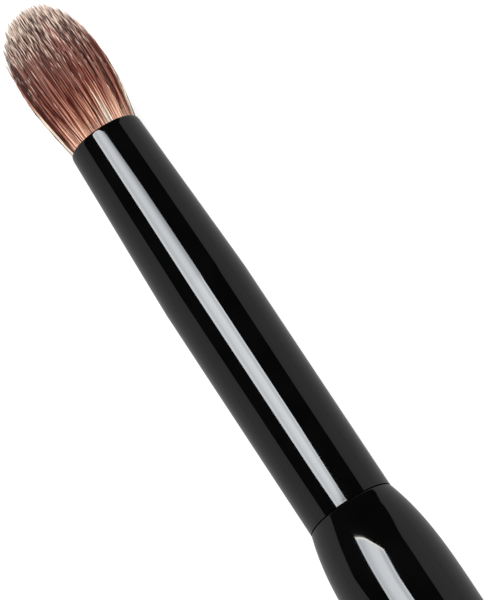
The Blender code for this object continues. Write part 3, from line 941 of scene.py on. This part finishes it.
def make_strips(handle, ferrule):
    """What the gloss of the handle and of the ferrule shows of the strip softbox.

    The strips are a centimetre apart in height, so that none lies in another.
    """
    ferrule_stops = [
        (0.0, "c9ccce"), (0.08, "c6c9cc"), (0.17, "b6babd"), (0.35, "cacdd0"), (0.6, "d1d3d5"),
        (0.84, "b0b4b8"), (0.93, "c8cbce"),
    ]
    make_strip(
        "strip_over_ferrule", STRIP_HEIGHT,
        [
            [(0.92, 0.50), (1.12, 0.28), (0.90, 0.06), (0.70, -0.04), (0.60, -0.10)],
            [(0.585, 0.49), (0.585, 0.25), (0.585, 0.06), (0.585, -0.06), (0.585, -0.17)],
            [(0.565, 0.495), (0.565, 0.25), (0.565, 0.06), (0.565, -0.08), (0.565, -0.235)],
            [(0.55, 0.50), (0.55, 0.25), (0.55, 0.06), (0.55, -0.08), (0.55, -0.235)],
            [(0.42, 0.495), (0.42, 0.26), (0.42, 0.08), (0.42, -0.06), (0.42, -0.195)],
            [(0.372, 0.49), (0.365, 0.27), (0.365, 0.10), (0.365, -0.04), (0.365, -0.165)],
            [(0.329, 0.40), (0.329, 0.25), (0.329, 0.10), (0.329, 0.00), (0.329, -0.08)],
        ],
        ferrule_stops,
        [(0.0, "cacccf"), (0.07, "c6c9cb"), (0.17, "b0b4b8"), (0.4, "c6c8cb"), (0.62, "bbbec1"),
         (0.9, "909396"), (1.0, "808386")],
        (0.5, 0.67), ferrule,
    )
    make_strip(
        "rear_strip_over_ferrule", STRIP_HEIGHT + 0.01,
        [
            [(0.305, 0.44), (0.305, 0.26), (0.305, 0.08), (0.305, -0.10)],
            [(-0.50, 0.52), (-0.50, 0.30), (-0.50, 0.08), (-0.50, -0.14)],
        ],
        ferrule_stops,
        [(0.0, "c9ccce"), (1.0, "c8cbce")],
        (-0.2, -0.1), ferrule,
    )
    make_strip(
        "strip_over_handle", STRIP_HEIGHT + 0.02,
        [
            [(0.76, 0.48), (0.66, 0.16), (0.57, -0.04), (0.50, -0.22)],
            [(0.735, 0.485), (0.635, 0.165), (0.545, -0.04), (0.475, -0.21)],
            [(0.35, 0.62), (0.35, 0.36), (0.35, 0.10), (0.35, -0.13)],
            [(-0.40, 0.66), (-0.40, 0.38), (-0.40, 0.11), (-0.40, -0.13)],
        ],
        [(0.0, "b4b8bb"), (0.07, "b6babd"), (0.15, "a8acb0"), (0.4, "c4c7ca"), (0.68, "c9cbce"),
         (0.86, "a6aaae"), (0.93, "bcc0c4")],
        [(0.0, "e6e6dc"), (1.0, "dadad2")],
        (0.27, 0.33), handle,
    )


def make_card(name, corners, height, glow, receiver=None):
    """A flat card with an even glow, which only one piece's gloss, or all gloss, shows."""
    bm = bmesh.new()
    bm.faces.new([bm.verts.new((x, y, height)) for x, y in corners])
    show_in_gloss_only(
        name, bm, lambda tree: add(tree, "ShaderNodeEmission", {"Strength": glow}).outputs[0], receiver)


def make_flags(handle, ferrule):
    """The black flags round the softboxes, and the parts of them that one piece shows as grey."""
    make_card("black_flags", [
        (-2.0, 2.3), (0.75, 2.36), (0.95, 2.68), (1.2, 3.05), (1.3, 2.57), (1.55, 2.14),
        (1.74, 1.85), (2.05, 1.8), (9.0, 5.3), (30.0, 10.0), (30.0, -40.0), (3.0, -4.2),
        (2.5, -3.8), (1.46, -2.5), (1.0, -1.93), (0.82, -1.78), (0.7, -1.66), (0.61, -1.56),
        (0.51, -1.5), (-2.0, -1.48),
    ], FLAG_HEIGHT, 0.0)
    make_card("grey_gap_over_ferrule", [
        (-2.0, 1.88), (0.6, 1.86), (0.66, 1.93), (0.78, 1.97), (0.9, 2.0), (0.98, 2.02),
        (1.05, 2.12), (1.13, 2.18), (1.53, 2.17), (1.3, 2.57), (1.2, 3.05), (0.95, 2.68),
        (0.75, 2.36), (-2.0, 2.3),
    ], GAP_HEIGHT, GLOSS_LEVEL, ferrule)
    make_card("grey_gap_over_handle", [
        (1.46, -2.5), (1.0, -1.93), (0.82, -1.78), (0.7, -1.66), (0.61, -1.56), (0.82, -1.65),
        (0.98, -1.8),
    ], GAP_HEIGHT, GLOSS_LEVEL, handle)


def make_floor():
    """A pale paper floor, which is white to the camera and keeps the brush's shadow."""
    material = bpy.data.materials.new("white_paper_sweep")
    tree = empty_tree(material)
    path = add(tree, "ShaderNodeLightPath")
    paper = add(tree, "ShaderNodeBsdfDiffuse", {"Color": linear("bcbcbc")})
    camera_glow = add(tree, "ShaderNodeMath", {0: path.outputs["Is Camera Ray"], 1: FLOOR_GLOW},
                      operation="MULTIPLY")
    strength = add(tree, "ShaderNodeMath", {
        0: path.outputs["Is Glossy Ray"], 1: FLOOR_GLOSS, 2: camera_glow.outputs[0],
    }, operation="MULTIPLY_ADD")
    glow = add(tree, "ShaderNodeEmission", {"Strength": strength.outputs[0]})
    both = add(tree, "ShaderNodeAddShader", {0: paper.outputs[0], 1: glow.outputs[0]})
    add(tree, "ShaderNodeOutputMaterial", {"Surface": both.outputs[0]})
    bm = bmesh.new()
    bmesh.ops.create_circle(bm, cap_ends=True, radius=FLOOR_RADIUS, segments=FLOOR_SIDES)
    bmesh.ops.translate(bm, verts=bm.verts, vec=(0.0, 0.0, cad_box[0].z - FLOOR_DROP))
    new_object("paper_floor", bm, material)


def make_world():
    """White to the camera, light grey in gloss, and a plain level of fill."""
    world = bpy.data.worlds.new("studio")
    bpy.context.scene.world = world
    tree = empty_tree(world)
    path = add(tree, "ShaderNodeLightPath")
    level = add(tree, "ShaderNodeMapRange", {
        "Value": path.outputs["Is Glossy Ray"], "To Min": FILL_LEVEL, "To Max": GLOSS_LEVEL,
    })
    strength = add(tree, "ShaderNodeMath", {
        0: level.outputs["Result"], 1: path.outputs["Is Camera Ray"],
    }, operation="MAXIMUM")
    light = add(tree, "ShaderNodeBackground", {
        "Color": linear("ffffff"), "Strength": strength.outputs[0],
    })
    add(tree, "ShaderNodeOutputWorld", {"Surface": light.outputs[0]})


def make_lamp(name, diffuse, specular):
    """A soft square lamp over the bristles, with its share in diffuse and glossy light."""
    data = bpy.data.lights.new(name, "AREA")
    data.shape = "SQUARE"
    data.size = KEY_SIZE
    data.energy = KEY_POWER
    data.diffuse_factor = diffuse
    data.specular_factor = specular
    lamp = bpy.data.objects.new(name, data)
    bpy.context.scene.collection.objects.link(lamp)
    direction = KEY_DIRECTION.normalized()
    lamp.location = KEY_TARGET + direction * KEY_DISTANCE
    lamp.rotation_euler = direction.to_track_quat("Z", "Y").to_euler()
    return lamp


def make_key(hair):
    """The key lights everything, but only the hair glints with it: the lacquer is flagged."""
    make_lamp("key", 1.0, 0.0).visible_glossy = False
    light_only(make_lamp("key_in_hair_gloss", 0.0, HAIR_GLINT), hair)


def make_camera():
    """Looks down at the brush, which runs from the upper left of the picture to the lower right."""
    data = bpy.data.cameras.new("camera")
    data.lens = LENS
    data.clip_start = CLIP_START
    data.clip_end = CLIP_END
    camera = bpy.data.objects.new("camera", data)
    bpy.context.scene.collection.objects.link(camera)
    back = Vector((-math.sin(CAMERA_LEAN), 0.0, math.cos(CAMERA_LEAN)))
    along = Vector((math.cos(CAMERA_LEAN), 0.0, math.sin(CAMERA_LEAN)))
    across = Vector((0.0, -1.0, 0.0))
    up = along * math.cos(BRUSH_TURN) + across * math.sin(BRUSH_TURN)
    right = across * math.cos(BRUSH_TURN) - along * math.sin(BRUSH_TURN)
    place = VIEW_CENTRE + back * CAMERA_DISTANCE
    for column, axis in enumerate((right, up, back, place)):
        for row in range(3):
            camera.matrix_world[row][column] = axis[row]
    bpy.context.scene.camera = camera


def dress_inner_nodes():
    """Procedural finishes for the CAD nodes that stay: adhesive, resin and thread."""
    adhesive = make_epoxy("set_epoxy_adhesive", "8a6a30", "b08c48")
    finishes = {
        "tenon_adhesive_rear": adhesive,
        "tenon_adhesive_front": adhesive,
        "root_resin": make_epoxy("cast_root_epoxy", "6b4a22", "8d6734"),
        "root_tie_thread": make_cotton_thread(),
    }
    for node, material in finishes.items():
        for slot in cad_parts[node].material_slots:
            slot.material = material


bpy.context.scene.view_settings.view_transform = "Standard"
make_camera()
handle = make_handle(make_handle_lacquer())
ferrule = make_ferrule(make_ferrule_enamel())
hair = make_tuft()
dress_inner_nodes()
make_floor()
make_strips(handle, ferrule)
make_flags(handle, ferrule)
make_world()
make_key(hair)
